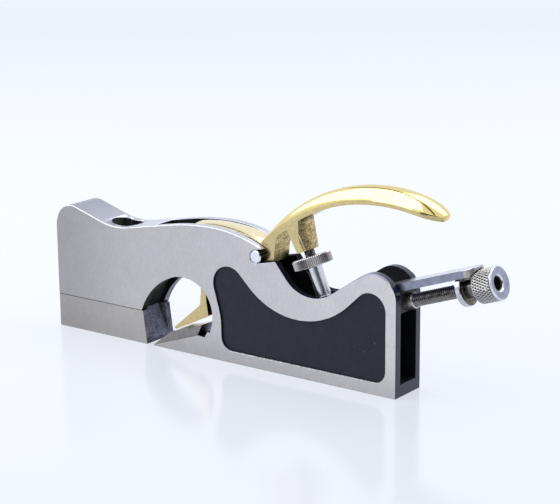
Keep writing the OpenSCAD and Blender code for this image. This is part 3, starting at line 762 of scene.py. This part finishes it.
yaw, pitch, roll = math.radians(36.39), math.radians(14.48), math.radians(-0.48)
camera_place = Vector((0.46520, -0.59215, 0.24187))
lens = bpy.data.cameras.new("camera")
lens.lens = 112.2
lens.sensor_width = 36
lens.clip_start = 0.05
camera = bpy.data.objects.new("camera", lens)
scene.collection.objects.link(camera)
ahead = Vector((-math.sin(yaw) * math.cos(pitch), math.cos(yaw) * math.cos(pitch), -math.sin(pitch)))
level = Vector((math.cos(yaw), math.sin(yaw), 0))
over = level.cross(ahead)
across = math.cos(roll) * level + math.sin(roll) * over
above = math.cos(roll) * over - math.sin(roll) * level
stance = Matrix((across, above, -ahead)).transposed().to_4x4()
stance.translation = camera_place
camera.matrix_world = stance
scene.camera = camera
scene.view_settings.view_transform = "Standard"


def sheet(name, width, length, place=Matrix.Identity(4)):
    """A flat sheet of the studio, such as the sweep or the drape."""
    made = bmesh.new()
    bmesh.ops.create_grid(made, x_segments=8, y_segments=8, size=0.5)
    bmesh.ops.scale(made, vec=(width, length, 1), verts=made.verts)
    data = bpy.data.meshes.new(name)
    made.to_mesh(data)
    made.free()
    hung = bpy.data.objects.new(name, data)
    hung.matrix_world = place
    scene.collection.objects.link(hung)
    return hung


def shown_light(tree, dim, bright):
    """A strength that is bright to the camera and in reflections, and dim as light on the object."""
    rays = shade(tree, "LightPath").outputs
    seen = shade(tree, "Math", {0: rays["Is Camera Ray"], 1: rays["Is Glossy Ray"]}, operation="MAXIMUM")
    seen = shade(tree, "Math", {0: seen.outputs[0], 1: rays["Is Transmission Ray"]}, operation="MAXIMUM")
    return shade(tree, "Mix", {"Factor": seen.outputs[0], 2: dim, 3: bright}).outputs[0]


# The paper glows a little less with distance. across_floor points away over it.
across_floor = (-0.593, 0.805, 0)
near_end, far_end = -0.12, 1.2
near_glow, far_glow = 0.655, 0.42
sweep = sheet("sweep", 6.0, 6.0)
paper = bpy.data.materials.new("paper")
paper.use_nodes = True
tree = paper.node_tree
paper_skin = tree.nodes["Principled BSDF"]
paper_skin.inputs["Base Color"].default_value = (0.19, 0.20, 0.23, 1)
paper_skin.inputs["Roughness"].default_value = 0.15
paper_skin.inputs["Specular IOR Level"].default_value = 0.3
paper_skin.inputs["Emission Color"].default_value = (0.90, 0.93, 1.0, 1)
place = shade(tree, "VectorMath", {0: shade(tree, "TexCoord").outputs["Object"], 1: across_floor},
              operation="DOT_PRODUCT")
fading = shade(tree, "MapRange", {"Value": place.outputs["Value"], "From Min": near_end, "From Max": far_end,
                                  "To Min": near_glow, "To Max": far_glow})
tree.links.new(shown_light(tree, 0.0, fading.outputs[0]), paper_skin.inputs["Emission Strength"])
sweep.data.materials.append(paper)


def gauze(name, width, length, hem):
    """Black cloth that thins out to nothing along its hems."""
    cloth = bpy.data.materials.new(name)
    cloth.use_nodes = True
    tree = cloth.node_tree
    weave = tree.nodes["Principled BSDF"]
    weave.inputs["Base Color"].default_value = (0.02, 0.02, 0.025, 1)
    weave.inputs["Roughness"].default_value = 0.9
    place = shade(tree, "SeparateXYZ", {0: shade(tree, "TexCoord").outputs["Object"]})
    solid = []
    for axis, reach in (("X", width / 2), ("Y", length / 2)):
        away = shade(tree, "Math", {0: place.outputs[axis]}, operation="ABSOLUTE")
        solid.append(shade(tree, "MapRange", {"Value": away.outputs[0], "From Min": reach - hem,
                                              "From Max": reach, "To Min": 1.0, "To Max": 0.0}).outputs[0])
    solid = shade(tree, "Math", {0: solid[0], 1: solid[1]}, operation="MULTIPLY")
    tree.links.new(solid.outputs[0], weave.inputs["Alpha"])
    return cloth


# Each dark cloth is a width, a length, a soft hem, a centre and a turn. The object's own light passes it.
drape_turn = Vector((-0.52, 0.854, 0)).to_track_quat("Z", "Y").to_matrix().to_4x4()
boom_turn = Matrix.Rotation(-0.585, 4, "Z")
for name, width, length, hem, centre, turn in (
        ("drape", 1.7, 0.8, 0.16, (0.64, -0.78, 0.42), drape_turn),
        ("boom", 2.2, 0.085, 0.012, (-0.16, 0.27, 0.80), boom_turn)):
    dark = sheet(name, width, length, Matrix.Translation(Vector(centre)) @ turn)
    dark.data.materials.append(gauze(name + "_cloth", width, length, hem))
    dark.visible_camera = False
    dark.visible_diffuse = False
    dark.visible_shadow = False

studio = bpy.data.worlds.new("studio")
studio.use_nodes = True
scene.world = studio
tree = studio.node_tree
backdrop = tree.nodes["Background"]
backdrop.inputs["Color"].default_value = (0.89, 0.92, 1.0, 1)
tree.links.new(shown_light(tree, 0.5, 1.0), backdrop.inputs["Strength"])

# Each soft box is a place, the point it faces, its two sides and its watts.
for name, place, target, width, length, watts in (
        ("window_box", (-0.42, -0.17, 0.72), (0.05, -0.04, 0.05), 1.0, 1.1, 7.4),
        ("back_box", (0.32, 0.56, 0.80), (0.32, 0.56, 0.0), 1.1, 0.66, 4.6)):
    lamp = bpy.data.lights.new(name, "AREA")
    lamp.shape = "RECTANGLE"
    lamp.size = width
    lamp.size_y = length
    lamp.energy = watts
    softbox = bpy.data.objects.new(name, lamp)
    softbox.location = place
    softbox.rotation_euler = (Vector(target) - Vector(place)).to_track_quat("-Z", "Y").to_euler()
    softbox.visible_camera = False
    scene.collection.objects.link(softbox)
